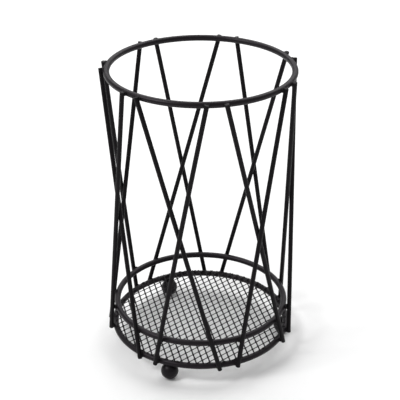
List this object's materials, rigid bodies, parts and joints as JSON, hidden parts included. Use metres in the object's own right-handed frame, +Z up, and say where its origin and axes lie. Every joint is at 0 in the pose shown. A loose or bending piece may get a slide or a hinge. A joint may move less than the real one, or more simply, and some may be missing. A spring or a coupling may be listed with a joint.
{
  "type": "umbrella stand",
  "caption": "Open round wire basket for umbrellas, with rods that lean both ways between rings, a diamond mesh floor and ball feet.",
  "frame": {"origin": "on the axis of the rings, at the floor the ball feet stand on", "axes": "+Z up along the axis of the rings, -Y towards the front, +X to the right seen from the front"},
  "size_m": [0.2538, 0.2558, 0.3975],
  "materials": {
    "ring_coat": "satin black powder coat",
    "rod_coat": "satin black powder coat",
    "mesh_coat": "satin black powder coat",
    "foot_coat": "satin black powder coat",
    "weld_coat": "satin black powder coat over rough weld metal"
  },
  "bodies": {
    "root": {"top_ring": "ring_coat", "guard_ring": "ring_coat", "floor_ring": "ring_coat", "mesh_floor": "mesh_coat", "inner_rod_1": "rod_coat", "inner_rod_2": "rod_coat", "inner_rod_3": "rod_coat", "inner_rod_4": "rod_coat", "inner_rod_5": "rod_coat", "inner_rod_6": "rod_coat", "inner_rod_7": "rod_coat", "outer_rod_1": "rod_coat", "outer_rod_2": "rod_coat", "outer_rod_3": "rod_coat", "outer_rod_4": "rod_coat", "outer_rod_5": "rod_coat", "outer_rod_6": "rod_coat", "outer_rod_7": "rod_coat", "ball_foot_1": "foot_coat", "ball_foot_2": "foot_coat", "ball_foot_3": "foot_coat", "foot_stud_1": "foot_coat", "foot_stud_2": "foot_coat", "foot_stud_3": "foot_coat", "top_ring_welds": "weld_coat", "guard_ring_welds": "weld_coat", "floor_ring_welds": "weld_coat", "mesh_tacks": "weld_coat"}
  },
  "joints": []
}
